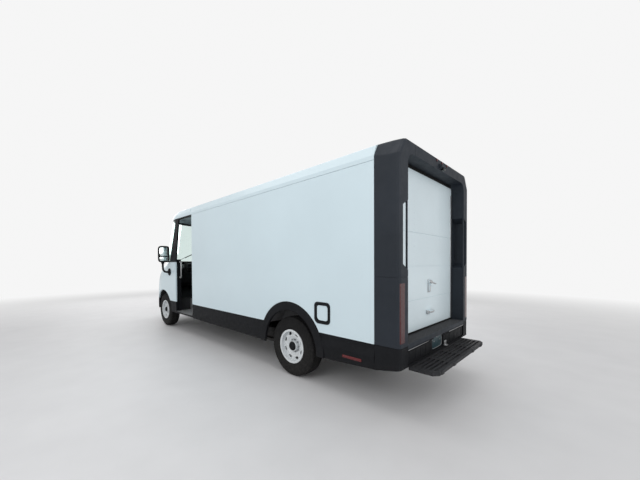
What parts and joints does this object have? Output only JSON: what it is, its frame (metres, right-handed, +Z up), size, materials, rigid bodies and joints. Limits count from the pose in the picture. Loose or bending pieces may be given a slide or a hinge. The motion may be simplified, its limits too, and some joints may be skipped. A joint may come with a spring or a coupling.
{
  "type": "electric walk-in cargo van",
  "caption": "White long-body electric cargo van with pocket sliding cab doors, a charcoal portal rear frame, a roll-up rear door and a rear step.",
  "frame": {"origin": "on the ground under the middle of the overall length and width", "axes": "+Z up, +X towards the driver's (left) side, -Y towards the front"},
  "size_m": [2.644, 7.64, 2.7799],
  "materials": {
    "body_white": "semi-gloss white paint",
    "frame_charcoal": "grained charcoal moulding",
    "trim_black": "grained black moulding",
    "cabin_grey": "grained grey moulding",
    "chassis_black": "satin black coating",
    "wheel_silver": "silver white enamel",
    "cast_grey": "as cast",
    "alloy": "mill finish",
    "glass": "clear with a green tint",
    "mirror": "polished",
    "lens_red": "moulded red lens",
    "lens_clear": "moulded clear lens",
    "seat_cloth": "woven seat cover on foam",
    "tyre": "matt black rubber"
  },
  "bodies": {
    "van": {"chassis_frame": "chassis_black", "battery_pack": "chassis_black", "front_suspension": "cast_grey", "rear_axle": "cast_grey", "cargo_floor": "alloy", "side_wall_left": "body_white", "side_wall_right": "body_white", "side_skirts": "trim_black", "roof": "body_white", "cab_roof": "body_white", "bulkhead": "cabin_grey", "rear_frame": "frame_charcoal", "rear_door": "body_white", "grab_handles": "trim_black", "tail_lights": "lens_red", "rear_bumper": "trim_black", "rear_step": "trim_black", "cab_floor": "cabin_grey", "windshield_frame": "trim_black", "windshield": "glass", "fenders": "body_white", "front_fascia": "body_white", "cowl": "trim_black", "front_bumper": "trim_black", "headlights": "lens_clear", "dashboard": "cabin_grey", "driver_seat": "seat_cloth", "mirrors": "trim_black", "mirror_glass": "mirror", "charge_inlet": "trim_black"},
    "door_left": {"cab_door_left": "body_white", "cab_door_glass_left": "glass"},
    "door_right": {"cab_door_right": "body_white", "cab_door_glass_right": "glass"},
    "hood_panel": {"hood": "body_white"},
    "port_flap": {"charge_door": "body_white"},
    "aisle_door": {"bulkhead_door": "cabin_grey"},
    "helm": {"steering_wheel": "trim_black"},
    "upright_left": {"knuckle_left": "cast_grey"},
    "upright_right": {"knuckle_right": "cast_grey"},
    "wheel_front_left": {"rim_front_left": "wheel_silver", "tyre_front_left": "tyre"},
    "wheel_front_right": {"rim_front_right": "wheel_silver", "tyre_front_right": "tyre"},
    "wheel_rear_left": {"rim_rear_left": "wheel_silver", "tyre_rear_left": "tyre"},
    "wheel_rear_right": {"rim_rear_right": "wheel_silver", "tyre_rear_right": "tyre"}
  },
  "joints": [
    {"name": "steer_left", "type": "hinge", "parent": "van", "child": "upright_left", "pos_m": [0.818, -2.69, 0.404], "axis": [0, 0, 1], "range_deg": [-35, 35]},
    {"name": "steer_right", "type": "hinge", "parent": "van", "child": "upright_right", "pos_m": [-0.818, -2.69, 0.404], "axis": [0, 0, 1], "range_deg": [-36, 36]},
    {"name": "steering_wheel_turn", "type": "hinge", "parent": "van", "child": "helm", "pos_m": [0.4, -1.96, 1.385], "axis": [0, 0.8192, 0.5736], "range_deg": [-500, 500]},
    {"name": "spin_front_left", "type": "hinge", "parent": "upright_left", "child": "wheel_front_left", "pos_m": [0.893, -2.69, 0.404], "axis": [1, 0, 0], "continuous": true},
    {"name": "spin_front_right", "type": "hinge", "parent": "upright_right", "child": "wheel_front_right", "pos_m": [-0.893, -2.69, 0.404], "axis": [1, 0, 0], "continuous": true},
    {"name": "spin_rear_left", "type": "hinge", "parent": "van", "child": "wheel_rear_left", "pos_m": [0.893, 1.98, 0.404], "axis": [1, 0, 0], "continuous": true},
    {"name": "spin_rear_right", "type": "hinge", "parent": "van", "child": "wheel_rear_right", "pos_m": [-0.893, 1.98, 0.404], "axis": [1, 0, 0], "continuous": true},
    {"name": "cab_door_left_slide", "type": "slide", "parent": "van", "child": "door_left", "axis": [0, -1, 0], "range_m": [0, 0.904]},
    {"name": "cab_door_right_slide", "type": "slide", "parent": "van", "child": "door_right", "axis": [0, 1, 0], "range_m": [0, 0.904]},
    {"name": "hood_hinge", "type": "hinge", "parent": "van", "child": "hood_panel", "pos_m": [0, -3.25, 1.602], "axis": [-1, 0, 0], "range_deg": [0, 45]},
    {"name": "charge_flap_hinge", "type": "hinge", "parent": "van", "child": "port_flap", "pos_m": [1.062, 2.486, 0.937], "axis": [0, 0, -1], "range_deg": [0, 100]},
    {"name": "aisle_door_slide", "type": "slide", "parent": "van", "child": "aisle_door", "axis": [-1, 0, 0], "range_m": [0, 0.66]}
  ],
  "couplings": [
    {"joint": "steer_right", "follows": "steer_left", "ratio": 1},
    {"joint": "steering_wheel_turn", "follows": "steer_left", "ratio": 14}
  ]
}
